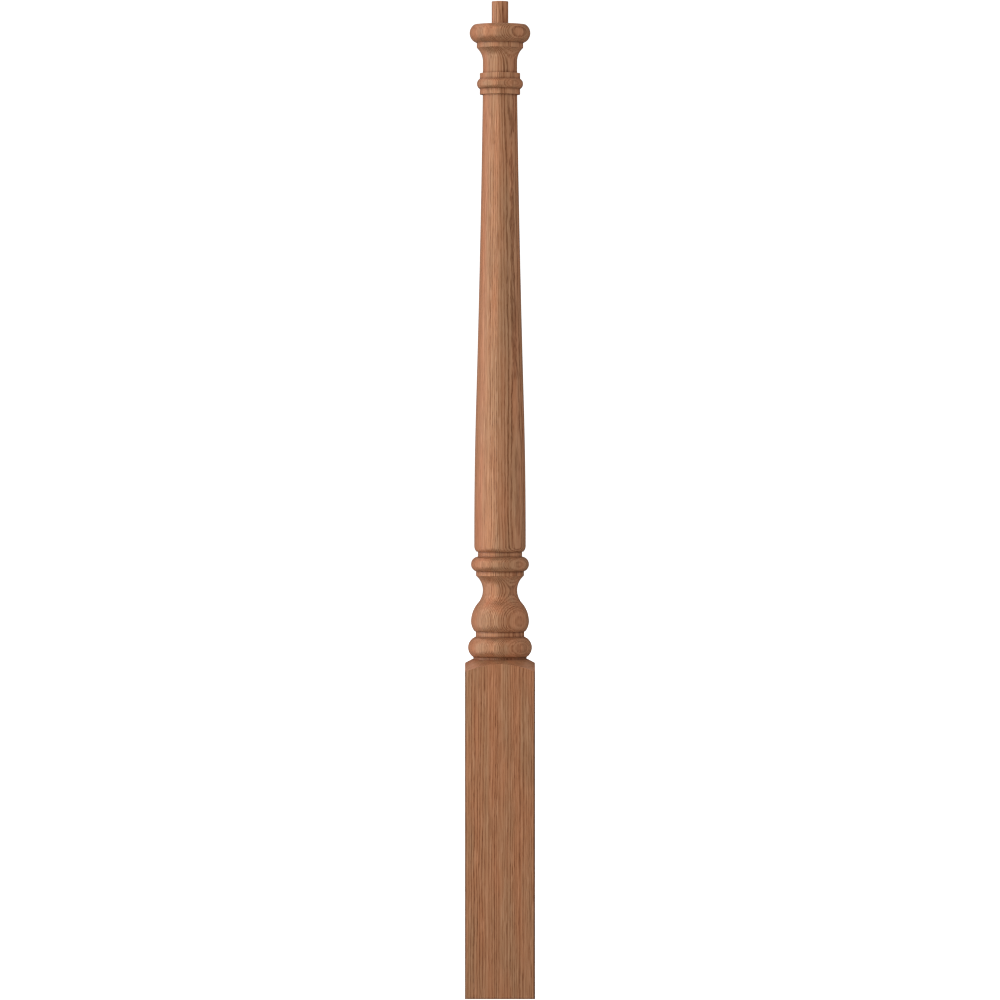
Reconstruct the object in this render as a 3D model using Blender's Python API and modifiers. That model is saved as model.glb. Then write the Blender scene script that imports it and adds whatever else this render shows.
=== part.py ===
# A newel post: one length of hardwood with a square block at the foot, turned
# above it into a torus, a vase, a bead, a long tapered shaft, a collar and a
# round head, with a round pin on top for the handrail fitting.
# Metres, +Z up. The origin is the middle of the flat underside, and the block's
# faces look along X and Y.

import math

import bmesh
import bpy

# The square block, and the turned shoulder that rises from it to a flat rim
BLOCK_WIDTH = 0.0762
BLOCK_HEIGHT = 0.3640  # to where the shoulder meets the middle of a face
BLOCK_EASE = 0.0012  # rounding of the four long arrises
SHOULDER_SLOPE = 0.535  # fall of the shoulder for each metre outwards
SHOULDER_RIM_RADIUS = 0.0306

# The short neck on the shoulder, and the torus that it carries
BASE_NECK_RADIUS = 0.0292
BASE_NECK_HEIGHT = 0.0022
TORUS_RADIUS = 0.0349
TORUS_LOWER_HEIGHT = 0.0105
TORUS_UPPER_HEIGHT = 0.0118

# The vase, on a plain fillet
VASE_FILLET_RADIUS = 0.0266
VASE_FILLET_HEIGHT = 0.0057
VASE_FOOT_RADIUS = 0.0276
VASE_RADIUS = 0.0317
VASE_LOWER_HEIGHT = 0.0109
VASE_UPPER_HEIGHT = 0.0341
VASE_NECK_RADIUS = 0.01875
VASE_BEND_SHARE = 0.6  # where along its upper curve the swell turns hollow

# The cove above the vase, and the bead on its own fillet
COVE_HEIGHT = 0.0159
BEAD_FILLET_RADIUS = 0.0262
BEAD_FILLET_HEIGHT = 0.0047
BEAD_RADIUS = 0.03165
BEAD_LOWER_HEIGHT = 0.0078
BEAD_UPPER_HEIGHT = 0.0083

# The groove under the shaft, and the shaft's rounded foot
GROOVE_RADIUS = 0.02415
GROOVE_HEIGHT = 0.0054
FOOT_RADIUS = 0.0256
FOOT_HEIGHT = 0.0062

# The shaft: a straight stretch, a swell that eases into it, and a long taper
SHAFT_RADIUS = 0.0281
STRAIGHT_LENGTH = 0.0116
SWELL_LENGTH = 0.1500
SWELL_GAIN = 0.0022  # radius gained down the swell
TAPER_LENGTH = 0.3310
SHAFT_TOP_RADIUS = 0.0188

# The collar: a bead between two fillets
COLLAR_FILLET_RADIUS = 0.0220
COLLAR_FILLET_HEIGHT = 0.0060
COLLAR_BEAD_RADIUS = 0.0252
COLLAR_BEAD_HEIGHT = 0.0112

# The neck, and the cove and fillet under the head
NECK_RADIUS = 0.0187
NECK_HEIGHT = 0.0130
HEAD_COVE_HEIGHT = 0.0147
HEAD_FILLET_RADIUS = 0.0253
HEAD_FILLET_HEIGHT = 0.0054

# The round head, flat on top, where the rail fitting seats round the pin
HEAD_RADIUS = 0.0331
HEAD_LOWER_HEIGHT = 0.0106
HEAD_UPPER_HEIGHT = 0.0093
SEAT_RADIUS = 0.0281
PIN_RADIUS = 0.00905
PIN_LENGTH = 0.0253

# How finely the round work is cut: steps in a full turn, the longest chord on
# an arc, and the steps down the shaft's two curves and round an eased arris
TURN_STEPS = 48
ARC_CHORD = 0.003
SWELL_STEPS = 4
TAPER_STEPS = 8
EASE_STEPS = 3

# How far the stock that is cut away reaches past the finished post
SPARE = 0.010

MERGE_DISTANCE = 0.00002
WOOD_COLOUR = (0.300, 0.138, 0.072, 1.0)
WOOD_ROUGHNESS = 0.42


def remove_all_objects():
    for thing in list(bpy.data.objects):
        bpy.data.objects.remove(thing, do_unlink=True)


def new_collection(name):
    collection = bpy.data.collections.new(name)
    bpy.context.scene.collection.children.link(collection)
    return collection


def wood_material():
    material = bpy.data.materials.new("hardwood")
    material.use_nodes = True
    shader = material.node_tree.nodes["Principled BSDF"]
    shader.inputs["Base Color"].default_value = WOOD_COLOUR
    shader.inputs["Roughness"].default_value = WOOD_ROUGHNESS
    shader.inputs["Metallic"].default_value = 0.0
    return material


# An outline's points are (radius, height). This gives the circle's points from
# `upright`, which it leaves straight up or down, to `end`. The arc swells if
# `end` is nearer the axis, and is a hollow if `end` is further out.
def upright_arc(upright, end):
    across = end[0] - upright[0]
    along = end[1] - upright[1]
    radius = (across ** 2 + along ** 2) / (2 * abs(across))
    centre = upright[0] + math.copysign(radius, across)
    sweep = math.atan2(abs(along), radius - abs(across))
    steps = math.ceil(radius * sweep / ARC_CHORD)
    points = []
    for step in range(steps + 1):
        angle = sweep * step / steps
        points.append((
            centre - math.copysign(radius * math.cos(angle), across),
            upright[1] + math.copysign(radius * math.sin(angle), along),
        ))
    return points


# A swelling from one radius, out to `radius` and in again, bottom to top
def bead(foot, lower_height, radius, upper_height, top_radius):
    middle = (radius, foot[1] + lower_height)
    top = (top_radius, middle[1] + upper_height)
    lower_half = upright_arc(middle, foot)[::-1]
    return lower_half + upright_arc(middle, top)[1:]


# The axis under the blank, the blank's side, and the sloping shoulder
def shoulder_points():
    half_width = BLOCK_WIDTH / 2
    blank_radius = half_width * math.sqrt(2) + SPARE
    blank_top = BLOCK_HEIGHT - SHOULDER_SLOPE * (blank_radius - half_width)
    rim = BLOCK_HEIGHT + SHOULDER_SLOPE * (half_width - SHOULDER_RIM_RADIUS)
    return [
        (0.0, -SPARE),
        (blank_radius, -SPARE),
        (blank_radius, blank_top),
        (SHOULDER_RIM_RADIUS, rim),
        (BASE_NECK_RADIUS, rim),
    ]


def torus_points(rim):
    foot = (BASE_NECK_RADIUS, rim + BASE_NECK_HEIGHT)
    return bead(foot, TORUS_LOWER_HEIGHT, TORUS_RADIUS, TORUS_UPPER_HEIGHT, VASE_FILLET_RADIUS)


# The vase's swell turns hollow at the bend, where its two arcs share a tangent
def vase_points(torus_top):
    fillet_top = torus_top + VASE_FILLET_HEIGHT
    belly = (VASE_RADIUS, fillet_top + VASE_LOWER_HEIGHT)
    neck = (VASE_NECK_RADIUS, belly[1] + VASE_UPPER_HEIGHT)
    bend = (
        belly[0] + (neck[0] - belly[0]) * VASE_BEND_SHARE,
        belly[1] + (neck[1] - belly[1]) * VASE_BEND_SHARE,
    )
    underside = upright_arc(belly, (VASE_FOOT_RADIUS, fillet_top))[::-1]
    swell = upright_arc(belly, bend)
    hollow = upright_arc(neck, bend)[::-1]
    return [(VASE_FILLET_RADIUS, fillet_top)] + underside + swell[1:] + hollow[1:]


def cove_and_bead_points(vase_neck):
    cove_top = vase_neck + COVE_HEIGHT
    cove = upright_arc((VASE_NECK_RADIUS, vase_neck), (BEAD_FILLET_RADIUS, cove_top))
    bead_foot = (BEAD_FILLET_RADIUS, cove_top + BEAD_FILLET_HEIGHT)
    return cove[1:] + bead(bead_foot, BEAD_LOWER_HEIGHT, BEAD_RADIUS, BEAD_UPPER_HEIGHT,
                           GROOVE_RADIUS)


# The swell and the taper are parabolas that meet without a corner
def shaft_points(bead_top):
    shaft_foot = bead_top + GROOVE_HEIGHT
    foot_top = shaft_foot + FOOT_HEIGHT
    swell_start = foot_top + STRAIGHT_LENGTH
    taper_start = swell_start + SWELL_LENGTH
    rounding = upright_arc((SHAFT_RADIUS, foot_top), (FOOT_RADIUS, shaft_foot))[::-1]
    points = [(GROOVE_RADIUS, shaft_foot)] + rounding
    for step in range(SWELL_STEPS + 1):
        part = step / SWELL_STEPS
        radius = SHAFT_RADIUS - SWELL_GAIN * part ** 2
        points.append((radius, swell_start + SWELL_LENGTH * part))
    taper_radius = SHAFT_RADIUS - SWELL_GAIN
    slope = 2 * SWELL_GAIN / SWELL_LENGTH
    hollow = (SHAFT_TOP_RADIUS - taper_radius + slope * TAPER_LENGTH) / TAPER_LENGTH ** 2
    for step in range(1, TAPER_STEPS + 1):
        rise = TAPER_LENGTH * step / TAPER_STEPS
        points.append((taper_radius - slope * rise + hollow * rise ** 2, taper_start + rise))
    return points


def collar_points(shaft_top):
    bead_foot = (COLLAR_FILLET_RADIUS, shaft_top + COLLAR_FILLET_HEIGHT)
    half_bead = COLLAR_BEAD_HEIGHT / 2
    points = [(COLLAR_FILLET_RADIUS, shaft_top)]
    points += bead(bead_foot, half_bead, COLLAR_BEAD_RADIUS, half_bead, COLLAR_FILLET_RADIUS)
    points.append((COLLAR_FILLET_RADIUS, points[-1][1] + COLLAR_FILLET_HEIGHT))
    return points


def head_points(collar_top):
    cove_foot = (NECK_RADIUS, collar_top + NECK_HEIGHT)
    cove_top = (HEAD_FILLET_RADIUS, cove_foot[1] + HEAD_COVE_HEIGHT)
    head_foot = (HEAD_FILLET_RADIUS, cove_top[1] + HEAD_FILLET_HEIGHT)
    points = [(NECK_RADIUS, collar_top)]
    points += upright_arc(cove_foot, cove_top)
    points += bead(head_foot, HEAD_LOWER_HEIGHT, HEAD_RADIUS, HEAD_UPPER_HEIGHT, SEAT_RADIUS)
    return points


def pin_points(seat):
    return [(PIN_RADIUS, seat), (PIN_RADIUS, seat + PIN_LENGTH), (0.0, seat + PIN_LENGTH)]


# Half the turned outline, from the axis below the foot to the axis above the
# pin. Each stretch starts at the height where the last one ends.
def turned_outline():
    points = shoulder_points()
    stretches = (torus_points, vase_points, cove_and_bead_points, shaft_points,
                 collar_points, head_points, pin_points)
    for stretch in stretches:
        points += stretch(points[-1][1])
    return points


# The outline as a wire, spun round the axis
def turned_post(collection, outline):
    mesh = bpy.data.meshes.new("newel_post")
    wire = bmesh.new()
    corners = [wire.verts.new((radius, 0.0, height)) for radius, height in reversed(outline)]
    for upper, lower in zip(corners, corners[1:]):
        wire.edges.new((upper, lower))
    wire.to_mesh(mesh)
    wire.free()
    post = bpy.data.objects.new("newel_post", mesh)
    collection.objects.link(post)
    turning = post.modifiers.new("turning", "SCREW")
    turning.axis = "Z"
    turning.angle = math.radians(360)
    turning.steps = TURN_STEPS
    turning.render_steps = TURN_STEPS
    turning.use_merge_vertices = True
    turning.merge_threshold = MERGE_DISTANCE
    turning.use_smooth_shade = True
    return post


# The square stock: its sides are the block's faces, its foot the underside
def square_stock(collection, height):
    mesh = bpy.data.meshes.new("square_stock")
    body = bmesh.new()
    bmesh.ops.create_cube(body, size=1.0)
    bmesh.ops.scale(body, vec=(BLOCK_WIDTH, BLOCK_WIDTH, height), verts=body.verts)
    bmesh.ops.translate(body, vec=(0.0, 0.0, height / 2), verts=body.verts)
    arrises = [edge for edge in body.edges if edge.verts[0].co.xy == edge.verts[1].co.xy]
    bmesh.ops.bevel(body, geom=arrises, offset=BLOCK_EASE, segments=EASE_STEPS, profile=0.5,
                    affect="EDGES")
    body.to_mesh(mesh)
    body.free()
    stock = bpy.data.objects.new("square_stock", mesh)
    stock.display_type = "WIRE"
    stock.hide_render = True
    collection.objects.link(stock)
    return stock


def build():
    remove_all_objects()
    wood = wood_material()
    outline = turned_outline()
    post = turned_post(new_collection("newel_post"), outline)
    stock = square_stock(new_collection("cutters"), outline[-1][1] + SPARE)
    for thing in (post, stock):
        thing.data.materials.append(wood)
    squaring = post.modifiers.new("squaring", "BOOLEAN")
    squaring.operation = "INTERSECT"
    squaring.solver = "EXACT"
    squaring.object = stock


build()
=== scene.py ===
import math

import bmesh
import bpy
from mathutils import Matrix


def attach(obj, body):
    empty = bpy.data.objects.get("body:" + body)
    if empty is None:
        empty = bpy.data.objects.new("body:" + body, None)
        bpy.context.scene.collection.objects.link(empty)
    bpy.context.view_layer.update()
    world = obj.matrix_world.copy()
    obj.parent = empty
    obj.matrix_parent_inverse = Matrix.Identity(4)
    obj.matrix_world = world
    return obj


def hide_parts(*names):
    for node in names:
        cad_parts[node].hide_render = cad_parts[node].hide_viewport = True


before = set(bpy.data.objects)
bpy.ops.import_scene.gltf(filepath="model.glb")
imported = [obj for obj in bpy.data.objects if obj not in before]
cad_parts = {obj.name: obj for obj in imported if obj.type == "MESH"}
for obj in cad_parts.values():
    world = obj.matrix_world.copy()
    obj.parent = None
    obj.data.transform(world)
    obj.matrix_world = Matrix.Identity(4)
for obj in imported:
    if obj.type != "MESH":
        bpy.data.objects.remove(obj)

print("frame loaded")
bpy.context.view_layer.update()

# The turned post, in metres, from the foot up. Radii are from the axis.
post = {
    "blockWidth": 0.0762,
    "blockHeight": 0.3640,  # to where the shoulder meets the middle of a face
    "arrisEase": 0.0010, "arrisSegments": 4,
    "shoulderSlope": 0.535,
    "shoulderRim": 0.0306,
    "baseNeck": 0.0292, "baseNeckHeight": 0.0022,
    "torus": 0.0349, "torusLower": 0.0105, "torusUpper": 0.0118,
    "vaseFillet": 0.0266, "vaseFilletHeight": 0.0057,
    "vaseFoot": 0.0276, "vase": 0.0317, "vaseLower": 0.0109, "vaseUpper": 0.0341,
    "vaseNeck": 0.01875, "vaseBend": 0.6,
    "coveHeight": 0.0159,
    "beadFillet": 0.0262, "beadFilletHeight": 0.0047,
    "bead": 0.03165, "beadLower": 0.0078, "beadUpper": 0.0083,
    "groove": 0.02415, "grooveHeight": 0.0054,
    "foot": 0.0256, "footHeight": 0.0062,
    "shaft": 0.0281, "straight": 0.0116, "swell": 0.1500, "swellGain": 0.0022,
    "taper": 0.3310, "shaftTop": 0.0188,
    "collarFillet": 0.0220, "collarFilletHeight": 0.0060,
    "collarBead": 0.0252, "collarBeadHeight": 0.0112,
    "neck": 0.0187, "neckHeight": 0.0130,
    "headCove": 0.0147, "headFillet": 0.0253, "headFilletHeight": 0.0054,
    "head": 0.0331, "headLower": 0.0106, "headUpper": 0.0093, "seat": 0.0281,
    "pin": 0.00905, "pinLength": 0.0253,
    "blankShare": 1.5,  # the round blank's radius, over half the block's width
    "turnSteps": 160,
    "chord": 0.0012,  # longest step along an arc
    "shaftSteps": 30,  # steps down the shaft's swell, and again down its taper
    "cornerEase": 0.00030, "cornerSegments": 2,  # sanding of the turned corners
    "cornerInset": 0.001,  # the turned corners lie at least this far inside the faces
    "cornerTurn": 20, "rimTurn": 35, "smoothTurn": 28,  # least angles, in degrees
    "mergeDistance": 0.00001, "cutDistance": 0.000001,
    "creaseTurn": 20,  # least angle, in degrees, of a corner that takes painted shade and some dirt
    "creaseReach": 0.0014,  # how far the painted shade and dirt fade out from a corner
    "creaseShadeFoot": 1.2, "creaseShadeTop": 0.68,  # how dark the painted crease shade and dirt are low and high on the post, darker low down as painted shade
    "ledgeShadeShare": 0.7,  # of that, for a crease that opens upwards, painted lighter as if lit from above
}


def uprightArc(upright, end):
    # Points on the circle that leaves upright straight up or down, to end
    across = end[0] - upright[0]
    along = end[1] - upright[1]
    radius = (across ** 2 + along ** 2) / (2 * abs(across))
    centre = upright[0] + math.copysign(radius, across)
    sweep = math.atan2(abs(along), radius - abs(across))
    steps = math.ceil(radius * sweep / post["chord"])
    points = []
    for step in range(steps + 1):
        angle = sweep * step / steps
        points.append((
            centre - math.copysign(radius * math.cos(angle), across),
            upright[1] + math.copysign(radius * math.sin(angle), along),
        ))
    return points


def beadArc(foot, lower, radius, upper, topRadius):
    middle = (radius, foot[1] + lower)
    top = (topRadius, middle[1] + upper)
    return uprightArc(middle, foot)[::-1] + uprightArc(middle, top)[1:]


def straightRun(start, end):
    # Short steps, so that the corners' painted shade and dirt have vertices to fade over
    steps = math.ceil(math.dist(start, end) / post["chord"])
    return [
        (start[0] + (end[0] - start[0]) * step / steps,
         start[1] + (end[1] - start[1]) * step / steps)
        for step in range(steps + 1)
    ]


def shaftCurve(footTop):
    swellStart = footTop + post["straight"]
    taperStart = swellStart + post["swell"]
    points = []
    for step in range(post["shaftSteps"] + 1):
        part = step / post["shaftSteps"]
        radius = post["shaft"] - post["swellGain"] * part ** 2
        points.append((radius, swellStart + post["swell"] * part))
    startRadius = points[-1][0]
    slope = 2 * post["swellGain"] / post["swell"]
    hollow = (post["shaftTop"] - startRadius + slope * post["taper"]) / post["taper"] ** 2
    for step in range(1, post["shaftSteps"] + 1):
        rise = post["taper"] * step / post["shaftSteps"]
        points.append((startRadius - slope * rise + hollow * rise ** 2, taperStart + rise))
    return points[:-2] + straightRun(*points[-2:])


def turnedOutline():
    half = post["blockWidth"] / 2
    blank = half * post["blankShare"]  # past the corners, which the squaring then cuts
    blankTop = post["blockHeight"] - post["shoulderSlope"] * (blank - half)
    height = post["blockHeight"] + post["shoulderSlope"] * (half - post["shoulderRim"])
    points = [(0, 0), (blank, 0)]
    points += straightRun((blank, blankTop), (post["shoulderRim"], height))
    points += [(post["baseNeck"], height)]
    height += post["baseNeckHeight"]
    points += beadArc((post["baseNeck"], height), post["torusLower"], post["torus"],
                      post["torusUpper"], post["vaseFillet"])

    height = points[-1][1] + post["vaseFilletHeight"]
    points += straightRun(points.pop(), (post["vaseFillet"], height))
    belly = (post["vase"], height + post["vaseLower"])
    neck = (post["vaseNeck"], belly[1] + post["vaseUpper"])
    bend = [a + (b - a) * post["vaseBend"] for a, b in zip(belly, neck)]
    points += uprightArc(belly, (post["vaseFoot"], height))[::-1]
    points += uprightArc(belly, bend)[1:]
    points += uprightArc(neck, bend)[-2::-1]

    height = neck[1] + post["coveHeight"]
    points += uprightArc(neck, (post["beadFillet"], height))[1:]
    points += straightRun(points.pop(), (post["beadFillet"], height + post["beadFilletHeight"]))
    points += beadArc(points.pop(), post["beadLower"], post["bead"], post["beadUpper"],
                      post["groove"])

    height = points[-1][1] + post["grooveHeight"]
    points += straightRun(points.pop(), (post["groove"], height))
    footTop = height + post["footHeight"]
    points += uprightArc((post["shaft"], footTop), (post["foot"], height))[::-1]
    points += shaftCurve(footTop)

    height = points[-1][1]
    collarFoot = (post["collarFillet"], height + post["collarFilletHeight"])
    points += straightRun((post["collarFillet"], height), collarFoot)[:-1]
    points += beadArc(collarFoot, post["collarBeadHeight"] / 2, post["collarBead"],
                      post["collarBeadHeight"] / 2, post["collarFillet"])
    height = points[-1][1] + post["collarFilletHeight"]
    points += straightRun(points.pop(), (post["collarFillet"], height))

    coveFoot = (post["neck"], height + post["neckHeight"])
    coveTop = (post["headFillet"], coveFoot[1] + post["headCove"])
    headFoot = (post["headFillet"], coveTop[1] + post["headFilletHeight"])
    points += straightRun((post["neck"], height), coveFoot)[:-1]
    points += uprightArc(coveFoot, coveTop)[:-1]
    points += straightRun(coveTop, headFoot)[:-1]
    points += beadArc(headFoot, post["headLower"], post["head"], post["headUpper"],
                      post["seat"])

    seat = points[-1][1]
    pinTop = seat + post["pinLength"]
    points += straightRun(points.pop(), (post["pin"], seat))[:-1]
    points += straightRun((post["pin"], seat), (post["pin"], pinTop))
    points += [(0, pinTop)]
    return points


def creaseCorners(outline):
    # Corners where the outline turns inwards, seen from outside the wood, with the darkness of
    # their painted shade and dirt
    corners = []
    for before, here, after in zip(outline, outline[1:], outline[2:]):
        inX, inZ = here[0] - before[0], here[1] - before[1]
        outX, outZ = after[0] - here[0], after[1] - here[1]
        turn = math.atan2(inX * outZ - inZ * outX, inX * outX + inZ * outZ)
        if turn < -math.radians(post["creaseTurn"]):
            # Painted shade: darker low on the post, lighter where the crease opens upwards to
            # the light
            rise = here[1] / outline[-1][1]
            darkness = post["creaseShadeFoot"] * (1 - rise) + post["creaseShadeTop"] * rise
            opensUpwards = inX < -outX
            if opensUpwards:
                darkness *= post["ledgeShadeShare"]
            corners.append((here, darkness))
    return corners


def spinOutline(body, outline):
    corners = [body.verts.new((radius, 0, height)) for radius, height in outline]
    wire = [body.edges.new(pair) for pair in zip(corners, corners[1:])]
    bmesh.ops.spin(body, geom=corners + wire, cent=(0, 0, 0), axis=(0, 0, 1), dvec=(0, 0, 0),
                   angle=2 * math.pi, steps=post["turnSteps"], use_merge=True)
    bmesh.ops.remove_doubles(body, verts=body.verts, dist=post["mergeDistance"])
    bmesh.ops.dissolve_degenerate(body, edges=body.edges, dist=post["mergeDistance"])
    bmesh.ops.recalc_face_normals(body, faces=body.faces)


def squareBlock(body):
    # Four cuts turn the round blank's foot square and leave the arched shoulders
    half = post["blockWidth"] / 2
    for side in ((1, 0, 0), (-1, 0, 0), (0, 1, 0), (0, -1, 0)):
        geometry = body.verts[:] + body.edges[:] + body.faces[:]
        cut = bmesh.ops.bisect_plane(body, geom=geometry, dist=post["cutDistance"],
                                     plane_co=[half * part for part in side], plane_no=side,
                                     clear_outer=True)
        rim = [item for item in cut["geom_cut"] if isinstance(item, bmesh.types.BMEdge)]
        bmesh.ops.holes_fill(body, edges=rim, sides=0)
    bmesh.ops.recalc_face_normals(body, faces=body.faces)


def easeEdges(body, edges, width, segments):
    bmesh.ops.bevel(body, geom=edges, offset=width, segments=segments, profile=0.5,
                    affect="EDGES", material=-1, clamp_overlap=True)


def easeBlock(body):
    half = post["blockWidth"] / 2
    nearly = post["mergeDistance"]
    arrises = [
        edge for edge in body.edges
        if all(abs(abs(v.co.x) - half) < nearly and abs(abs(v.co.y) - half) < nearly
               for v in edge.verts)
    ]
    easeEdges(body, arrises, post["arrisEase"], post["arrisSegments"])
    rims = [
        edge for edge in body.edges
        if len(edge.link_faces) == 2
        and max(max(abs(v.co.x), abs(v.co.y)) for v in edge.verts) > half - post["arrisEase"]
        and edge.calc_face_angle() > math.radians(post["rimTurn"])
    ]
    easeEdges(body, rims, post["cornerEase"], post["cornerSegments"])


def easeTurnedCorners(body):
    inside = post["blockWidth"] / 2 - post["cornerInset"]
    corners = [
        edge for edge in body.edges
        if len(edge.link_faces) == 2
        and edge.calc_face_angle_signed() > math.radians(post["cornerTurn"])
        and max(math.hypot(v.co.x, v.co.y) for v in edge.verts) < inside
        and abs(edge.verts[0].co.z - edge.verts[1].co.z) < post["mergeDistance"]
    ]
    easeEdges(body, corners, post["cornerEase"], post["cornerSegments"])


def paintCreases(mesh, corners):
    # Painted shade and dirt, full in the bottom of a crease, fading to 0 over creaseReach
    crease = mesh.attributes.new("crease", "FLOAT", "POINT")
    for vertex in mesh.vertices:
        spot = (math.hypot(vertex.co.x, vertex.co.y), vertex.co.z)
        crease.data[vertex.index].value = max(
            darkness * math.exp(-(math.dist(spot, corner) / post["creaseReach"]) ** 2)
            for corner, darkness in corners)


def buildPost():
    outline = turnedOutline()
    body = bmesh.new()
    spinOutline(body, outline)
    squareBlock(body)
    easeBlock(body)
    easeTurnedCorners(body)
    mesh = bpy.data.meshes.new("turned_newel")
    body.to_mesh(mesh)
    body.free()
    mesh.shade_smooth()
    mesh.set_sharp_from_angle(angle=math.radians(post["smoothTurn"]))
    paintCreases(mesh, creaseCorners(outline))
    piece = bpy.data.objects.new("turned_newel", mesh)
    bpy.context.scene.collection.objects.link(piece)
    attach(piece, "root")
    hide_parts("newel_post")
    return piece


# The wood: rings are nearly flat sheets, and face right of the front
wood = {
    "ringFacing": 42,  # degrees right of the front
    "pithDistance": 0.2410,
    "ringWidth": 0.0017,
    "ringWander": 1.9, "wanderPace": 0.31,  # how unevenly the rings are spaced
    # place in a ring, from its start to its end, and how dark and porous the wood is there
    "ringProfile": ((0.00, 0.15), (0.14, 1.00), (0.40, 0.85), (0.58, 0.15), (0.90, 0.00),
                    (1.00, 0.15)),
    "ringStrength": (0.45, 0.92),  # of the faintest and the plainest ring
    "lean": 0.0187, "leanFrom": 0.4912,  # above leanFrom the rings lean in with the shaft
    "slowWaver": 0.0055, "quickWaver": 0.0013, "fineWaver": 0.0006,
    # cells of noise in a metre, across the post and along it
    "slowCells": (16, 2.4), "quickCells": (80, 22), "fineCells": (450, 110),
    "poreCells": (1300, 150), "streakCells": (760, 30), "flameCells": (110, 7),
    "rayCells": (800, 52), "driftCells": (75, 9),
    # values of the noise between which it fades in
    "poreFade": (0.54, 0.68), "streakFade": (0.3, 0.7), "rayFade": (0.60, 0.72),
    "driftFade": (0.35, 0.65),
    "poresLate": 0.20,  # share of the pores that is left in a ring's dense, paler wood
    "poresEarly": (0.1, 0.9),  # how dark a ring is where its pores start and are all there
    "middleFade": (-0.30, 0.35), "darkFade": (0.35, 1.1),  # depths where the colors change
    "light": (0.452, 0.228, 0.123, 1),
    "middle": (0.320, 0.143, 0.070, 1),
    "dark": (0.138, 0.050, 0.020, 1),
    "warmDrift": (1.05, 0.975, 0.94, 1), "coolDrift": (0.95, 1.02, 1.04, 1),
    "ringDepth": 0.82, "streakDepth": 0.58, "flameDepth": 0.08, "poreDepth": 0.42,
    "fleck": (0.580, 0.310, 0.180, 1), "fleckShare": 0.26,  # short pale rays in the grain
    "endGrain": 0.02, "endGrainFade": (0.35, 1.0),
    # painted crease shade, with some dirt
    "creaseShadeAndDirtTint": (0.42, 0.34, 0.28, 1),
    "planedTop": (0.95, 0.92, 0.89, 1),  # tint of the block's planed faces, at their top
    "planedFoot": (0.90, 0.87, 0.84, 1),
    # painted shade along the block's edges and its foot
    "edgeShadeTint": (0.28, 0.27, 0.26, 1),
    "edgeReach": 0.0022,  # how far the painted edge shade reaches in from the block's edges
    "footContactShadow": 0.6,  # how much of that painted shade the sawn foot's edge takes, a painted contact shadow
    "roughness": (0.27, 0.36),  # of the palest and the darkest streaks
    "poreRoughness": 0.25,  # what a pore adds to that
    "coat": 0.14, "coatRoughness": 0.15, "refraction": 1.5,
    "sheenShare": (2.20, 2.36, 2.42, 1),  # how much of the wood's own color its gloss takes
    "bumpDepth": 0.00012, "bumpStrength": 0.4,
    "poreBump": -1.0, "grainBump": -0.3,
    "planedDepth": 0.0001,  # how near a point is to a planed face to count as part of it
}


def addNode(tree, kind, inputs=(), **settings):
    node = tree.nodes.new(kind)
    node.location = (200 * len(tree.nodes), 0)
    for name, value in settings.items():
        setattr(node, name, value)
    for name, value in dict(inputs).items():
        plugIn(tree, node.inputs[name], value)
    return node


def plugIn(tree, socket, value):
    if isinstance(value, bpy.types.NodeSocket):
        tree.links.new(value, socket)
    else:
        socket.default_value = value


def calc(tree, operation, first, second=0.0, clamp=False):
    node = addNode(tree, "ShaderNodeMath", {0: first, 1: second}, operation=operation,
                   use_clamp=clamp)
    return node.outputs[0]


def total(tree, *values):
    result = values[0]
    for value in values[1:]:
        result = calc(tree, "ADD", result, value)
    return result


def clouds(tree, vector, cells, detail=1.0):
    across, along = cells
    stretched = addNode(tree, "ShaderNodeMapping",
                        {"Vector": vector, "Scale": (across, across, along)})
    node = addNode(tree, "ShaderNodeTexNoise",
                   {"Vector": stretched.outputs[0], "Scale": 1.0, "Detail": detail})
    return node.outputs["Fac"]


def spread(tree, value, low, high, toLow=0.0, toHigh=1.0):
    node = addNode(tree, "ShaderNodeMapRange", {
        "Value": value, "From Min": low, "From Max": high, "To Min": toLow, "To Max": toHigh})
    return node.outputs["Result"]


def centred(tree, value, fade, width):
    # From minus to plus half the width, as the value goes through the fade
    return spread(tree, value, *fade, -width / 2, width / 2)


def mixed(tree, factor, first, second, blend="MIX"):
    node = addNode(tree, "ShaderNodeMix", {0: factor, 6: first, 7: second}, data_type="RGBA",
                   blend_type=blend)
    return node.outputs[2]


def colorRamp(tree, value, stops):
    node = addNode(tree, "ShaderNodeValToRGB", {"Fac": value})
    elements = node.color_ramp.elements
    while len(elements) < len(stops):
        elements.new(1.0)
    for element, (place, color) in zip(elements, stops):
        element.position = place
        element.color = (*color, 1)
    return node.outputs["Color"]


def grayRamp(tree, value, stops):
    return colorRamp(tree, value, [(place, (shade, shade, shade)) for place, shade in stops])


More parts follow.
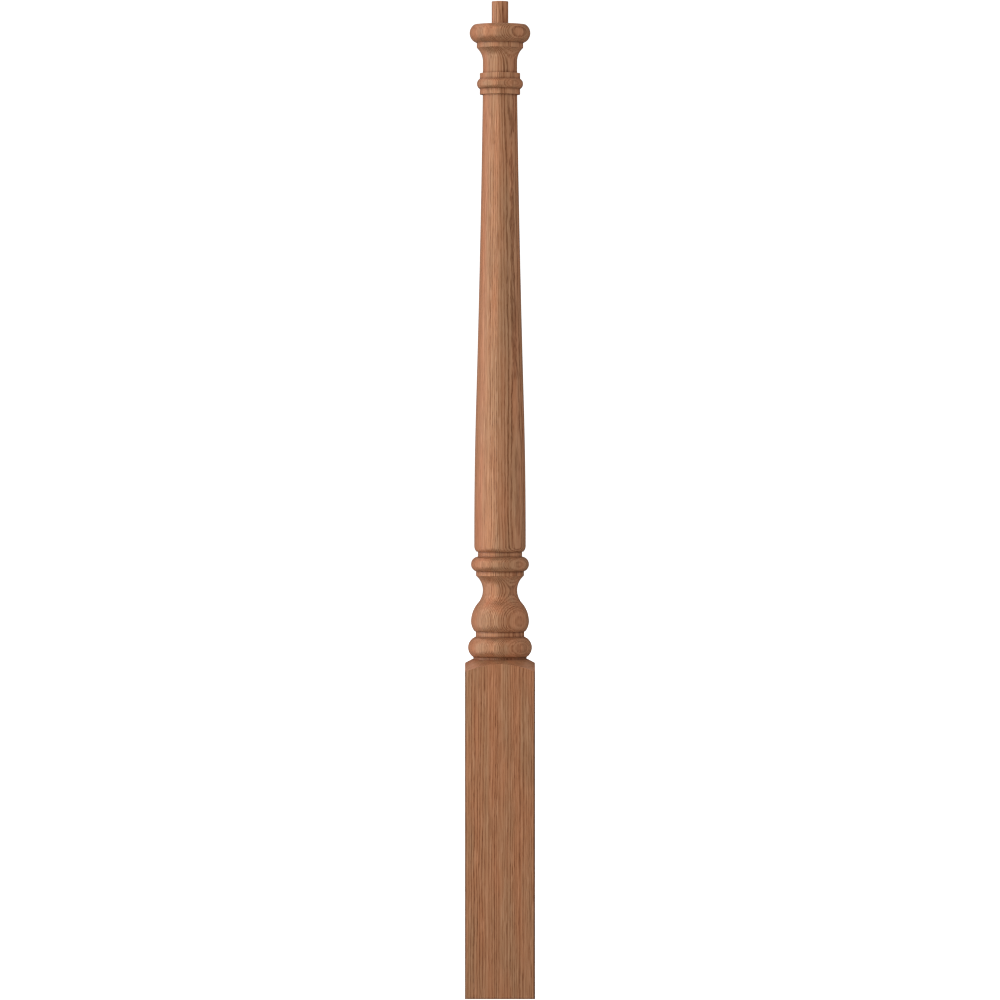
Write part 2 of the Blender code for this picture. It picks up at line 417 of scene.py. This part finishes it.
def countRings(tree, coords):
    # Distance from the pith, in growth rings
    turn = math.radians(90 - wood["ringFacing"])
    turned = addNode(tree, "ShaderNodeMapping", {"Vector": coords, "Rotation": (0, 0, turn)})
    turned = turned.outputs[0]
    axes = addNode(tree, "ShaderNodeSeparateXYZ", {"Vector": turned})
    rise = calc(tree, "MAXIMUM", calc(tree, "SUBTRACT", axes.outputs["Z"], wood["leanFrom"]), 0)
    fromPith = total(tree, axes.outputs["X"], wood["pithDistance"],
                     calc(tree, "MULTIPLY", rise, wood["lean"]))
    along = axes.outputs["Y"]
    square = total(tree, calc(tree, "MULTIPLY", fromPith, fromPith),
                   calc(tree, "MULTIPLY", along, along))
    slow = clouds(tree, turned, wood["slowCells"])
    quick = clouds(tree, turned, wood["quickCells"])
    fine = clouds(tree, turned, wood["fineCells"])
    waver = total(tree, centred(tree, slow, (0, 1), wood["slowWaver"]),
                  centred(tree, quick, (0, 1), wood["quickWaver"]),
                  centred(tree, fine, (0, 1), wood["fineWaver"]))
    rings = calc(tree, "DIVIDE", calc(tree, "ADD", calc(tree, "SQRT", square), waver),
                 wood["ringWidth"])
    pace = calc(tree, "MULTIPLY", rings, wood["wanderPace"])
    uneven = addNode(tree, "ShaderNodeTexNoise", {"W": pace, "Scale": 1.0, "Detail": 1.0},
                     noise_dimensions="1D")
    wander = centred(tree, uneven.outputs["Fac"], (0, 1), wood["ringWander"])
    return total(tree, rings, wander)


def blockTintAndShade(tree, coords):
    # The planed faces are tinted darker than the turning, a little more towards the foot, with
    # painted shade along their edges and a painted contact shadow at the foot
    half = post["blockWidth"] / 2
    axes = addNode(tree, "ShaderNodeSeparateXYZ", {"Vector": coords})
    reachX = calc(tree, "ABSOLUTE", axes.outputs["X"])
    reachY = calc(tree, "ABSOLUTE", axes.outputs["Y"])
    planed = calc(tree, "GREATER_THAN", calc(tree, "MAXIMUM", reachX, reachY),
                  half - wood["planedDepth"])
    # painted shade along the arrises, and a painted contact shadow along the foot
    edge = spread(tree, calc(tree, "MINIMUM", reachX, reachY), half - wood["edgeReach"], half)
    footShadow = spread(tree, axes.outputs["Z"], 0, wood["edgeReach"], wood["footContactShadow"], 0)
    edge = calc(tree, "MAXIMUM", edge, footShadow)
    rise = spread(tree, axes.outputs["Z"], 0, post["blockHeight"])
    face = mixed(tree, rise, wood["planedFoot"], wood["planedTop"])
    tint = mixed(tree, planed, (1, 1, 1, 1), face)
    return mixed(tree, edge, tint, wood["edgeShadeTint"])


def sortGrain(tree, coords):
    # How dark each spot of the grain is, with its pores and streaks
    rings = countRings(tree, coords)
    early = grayRamp(tree, calc(tree, "FRACT", rings), wood["ringProfile"])
    ringKind = addNode(tree, "ShaderNodeTexWhiteNoise", {"W": calc(tree, "FLOOR", rings)},
                       noise_dimensions="1D")
    early = calc(tree, "MULTIPLY", early,
                 spread(tree, ringKind.outputs["Value"], 0, 1, *wood["ringStrength"]))

    pores = calc(tree, "MULTIPLY",
                 spread(tree, clouds(tree, coords, wood["poreCells"]), *wood["poreFade"]),
                 spread(tree, early, *wood["poresEarly"], wood["poresLate"], 1.0))
    streaks = clouds(tree, coords, wood["streakCells"], detail=3.0)
    flames = clouds(tree, coords, wood["flameCells"])
    depth = total(
        tree,
        calc(tree, "MULTIPLY", early, wood["ringDepth"]),
        centred(tree, streaks, wood["streakFade"], wood["streakDepth"]),
        centred(tree, flames, wood["streakFade"], wood["flameDepth"]),
        calc(tree, "MULTIPLY", pores, wood["poreDepth"]),
    )
    return depth, pores, streaks


def colorGrain(tree, coords, depth):
    pale = mixed(tree, spread(tree, depth, *wood["middleFade"]), wood["light"], wood["middle"])
    grain = mixed(tree, spread(tree, depth, *wood["darkFade"]), pale, wood["dark"])
    rays = clouds(tree, coords, wood["rayCells"], detail=0.0)
    grain = mixed(tree, spread(tree, rays, *wood["rayFade"], 0.0, wood["fleckShare"]), grain,
                  wood["fleck"])
    drift = clouds(tree, coords, wood["driftCells"])
    hue = mixed(tree, spread(tree, drift, *wood["driftFade"]), wood["warmDrift"],
                wood["coolDrift"])
    return mixed(tree, 1.0, grain, hue, blend="MULTIPLY")


def stainAndShadeGrain(tree, coords, normal, grain):
    # Cut ends drink more finish; creases get painted shade with some dirt, and the block its
    # tint and painted edge shade
    up = addNode(tree, "ShaderNodeSeparateXYZ", {"Vector": normal}).outputs["Z"]
    endGrain = spread(tree, calc(tree, "ABSOLUTE", up), *wood["endGrainFade"], 0.0,
                      wood["endGrain"])
    grain = mixed(tree, endGrain, grain, wood["dark"])
    # painted crease shade, with some dirt
    crease = addNode(tree, "ShaderNodeAttribute", attribute_name="crease").outputs["Fac"]
    shadedAndDirty = mixed(tree, 1.0, grain, wood["creaseShadeAndDirtTint"], blend="MULTIPLY")
    grain = mixed(tree, crease, grain, shadedAndDirty)
    return mixed(tree, 1.0, grain, blockTintAndShade(tree, coords), blend="MULTIPLY")


def paintWood():
    material = bpy.data.materials.new("lacquered_oak")
    material.use_nodes = True
    tree = material.node_tree
    tree.nodes.clear()
    place = addNode(tree, "ShaderNodeTexCoord")
    coords = place.outputs["Object"]
    depth, pores, streaks = sortGrain(tree, coords)
    grain = colorGrain(tree, coords, depth)
    grain = stainAndShadeGrain(tree, coords, place.outputs["Normal"], grain)

    rough = total(tree, calc(tree, "MULTIPLY", pores, wood["poreRoughness"]),
                  spread(tree, streaks, *wood["streakFade"], *wood["roughness"]))
    height = total(tree, calc(tree, "MULTIPLY", pores, wood["poreBump"]),
                   calc(tree, "MULTIPLY", depth, wood["grainBump"]))
    bump = addNode(tree, "ShaderNodeBump", {"Height": height, "Distance": wood["bumpDepth"],
                                            "Strength": wood["bumpStrength"]})
    # Wood fibers under the finish shine in their own color
    sheen = mixed(tree, 1.0, grain, wood["sheenShare"], blend="MULTIPLY")
    shader = addNode(tree, "ShaderNodeBsdfPrincipled", {
        "Base Color": grain,
        "Roughness": rough,
        "Normal": bump.outputs[0],
        "IOR": wood["refraction"],
        "Specular IOR Level": 1.0,
        "Specular Tint": sheen,
        "Coat Weight": wood["coat"],
        "Coat Roughness": wood["coatRoughness"],
        "Coat IOR": wood["refraction"],
    })
    addNode(tree, "ShaderNodeOutputMaterial", {"Surface": shader.outputs[0]})
    return material


# The studio: a white sweep with even soft light. What the lacquer mirrors is a wide
# white panel on the left, which warms towards the back, and dim ones in front and on
# the right, with a warm band of skylight above.
studio = {
    "floorSize": 30.0, "floorDrop": 0.0003,  # a hair under the post's foot
    "floorShade": (0.85, 0.85, 0.85, 1), "floorRoughness": 0.9, "floorGlow": 0.85,
    "backdrop": 1.1,
    "evenPower": 0.78, "front": 0.08,
    # sine of the height above or below level, and how bright the even light is there
    "evenUpward": ((-1, 0.75), (-0.5, 0.92), (0, 1), (0.5, 0.97), (1, 0.82)),
    "panelPower": 3.85,
    # degrees to the right of the camera, how bright the panel is there, and how warm
    "panelsAround": ((-180, 0.04, 1), (-160, 0.08, 1), (-118, 0.40, 1), (-104, 0.82, 0.7),
                     (-80, 0.96, 0), (-12.5, 0.96, 0), (-9, 0.26, 0), (25, 0.24, 0),
                     (30, 0.10, 0), (40, 0.10, 0), (46, 0.20, 0), (90, 0.16, 0.5),
                     (115, 0.04, 1), (180, 0.02, 1)),
    "warmth": (1.0, 0.55, 0.39),
    # sine of the height above or below level, and the brightness there
    "panelsUpward": ((-0.80, 0.0), (-0.42, 1.0), (0.50, 1.0), (0.88, 0.30), (1.0, 0.20)),
    "skylight": ((0.42, 0.0), (0.58, 0.21), (0.84, 0.52), (0.95, 0.02)),
    "skyWarmth": 0.8,
    "skyTilt": 1.5,  # how fast the skylight dims towards the right
}


def paintFloor():
    material = bpy.data.materials.new("pale_floor")
    material.use_nodes = True
    shader = material.node_tree.nodes["Principled BSDF"]
    shader.inputs["Base Color"].default_value = studio["floorShade"]
    shader.inputs["Roughness"].default_value = studio["floorRoughness"]
    shader.inputs["Specular IOR Level"].default_value = 0.0
    shader.inputs["Emission Color"].default_value = (1, 1, 1, 1)
    shader.inputs["Emission Strength"].default_value = studio["floorGlow"]
    return material


def buildFloor():
    body = bmesh.new()
    bmesh.ops.create_grid(body, x_segments=1, y_segments=1, size=studio["floorSize"] / 2)
    bmesh.ops.translate(body, vec=(0, 0, -studio["floorDrop"]), verts=body.verts)
    mesh = bpy.data.meshes.new("studio_floor")
    body.to_mesh(mesh)
    body.free()
    mesh.materials.append(paintFloor())
    floor = bpy.data.objects.new("studio_floor", mesh)
    bpy.context.scene.collection.objects.link(floor)
    floor.visible_diffuse = False
    floor.visible_glossy = False
    floor.visible_shadow = False


def warmed(shade, warmth):
    return [shade * (1 - warmth + warmth * part) for part in studio["warmth"]]


def bySine(stops):
    return [(0.5 + sine / 2, shade) for sine, shade in stops]


def backdropLight(tree, color, strength):
    node = addNode(tree, "ShaderNodeBackground", {"Color": color, "Strength": strength})
    return node.outputs[0]


def buildWorld():
    world = bpy.data.worlds.new("white_studio")
    bpy.context.scene.world = world
    world.use_nodes = True
    world.cycles.sampling_method = "NONE"
    tree = world.node_tree
    tree.nodes.clear()
    towards = addNode(tree, "ShaderNodeTexCoord").outputs["Generated"]
    axes = addNode(tree, "ShaderNodeSeparateXYZ", {"Vector": towards})
    toFront = calc(tree, "MULTIPLY", axes.outputs["Y"], -1.0)
    facing = calc(tree, "ARCTAN2", axes.outputs["X"], toFront)
    around = colorRamp(tree, spread(tree, facing, -math.pi, math.pi),
                       [(0.5 + degrees / 360, warmed(shade, warmth))
                        for degrees, shade, warmth in studio["panelsAround"]])
    level = spread(tree, axes.outputs["Z"], -1, 1)
    upward = grayRamp(tree, level, bySine(studio["panelsUpward"]))
    panels = mixed(tree, 1.0, around, upward, blend="MULTIPLY")
    skylight = colorRamp(tree, level, [(place, warmed(shade, studio["skyWarmth"]))
                                       for place, shade in bySine(studio["skylight"])])
    toRight = calc(tree, "MULTIPLY", axes.outputs["X"], studio["skyTilt"])
    tilt = calc(tree, "SUBTRACT", 1, toRight, clamp=True)
    panels = mixed(tree, tilt, panels, skylight, blend="ADD")
    even = grayRamp(tree, level, bySine(studio["evenUpward"]))
    even = total(tree, calc(tree, "MULTIPLY", even, studio["evenPower"]),
                 calc(tree, "MULTIPLY", toFront, studio["front"]))

    rays = addNode(tree, "ShaderNodeLightPath")
    seen = addNode(tree, "ShaderNodeMixShader", {
        0: rays.outputs["Is Glossy Ray"],
        1: backdropLight(tree, (1, 1, 1, 1), even),
        2: backdropLight(tree, panels, studio["panelPower"]),
    })
    whole = addNode(tree, "ShaderNodeMixShader", {
        0: rays.outputs["Is Camera Ray"],
        1: seen.outputs[0],
        2: backdropLight(tree, (1, 1, 1, 1), studio["backdrop"]),
    })
    addNode(tree, "ShaderNodeOutputWorld", {"Surface": whole.outputs[0]})


# The camera stands a little above the post's middle and looks slightly down.
# The lens comes from the photo's scale: what a pixel covers at the post's axis.
view = {
    "pixelSize": 0.0010919,
    "distancePixels": 5600,
    "frameWidth": 1000,
    "sensorWidth": 36, "clipEnd": 100,
    "filterWidth": 1.25,  # pixels over which the film blurs, as crisp as the photo
    "height": 0.6094,
    "lookDown": 0.634,  # degrees
}


def buildCamera():
    lens = bpy.data.cameras.new("studio_camera")
    lens.sensor_width = view["sensorWidth"]
    lens.lens = lens.sensor_width * view["distancePixels"] / view["frameWidth"]
    lens.clip_end = view["clipEnd"]
    camera = bpy.data.objects.new("studio_camera", lens)
    distance = view["distancePixels"] * view["pixelSize"]
    camera.location = (0, -distance, view["height"])
    camera.rotation_euler = (math.radians(90 - view["lookDown"]), 0, 0)
    bpy.context.scene.collection.objects.link(camera)
    bpy.context.scene.camera = camera


newel = buildPost()
newel.data.materials.append(paintWood())
print("post turned:", len(newel.data.polygons), "faces")
buildFloor()
buildWorld()
buildCamera()
bpy.context.scene.view_settings.view_transform = "Standard"
bpy.context.scene.cycles.filter_width = view["filterWidth"]
print("studio lit")
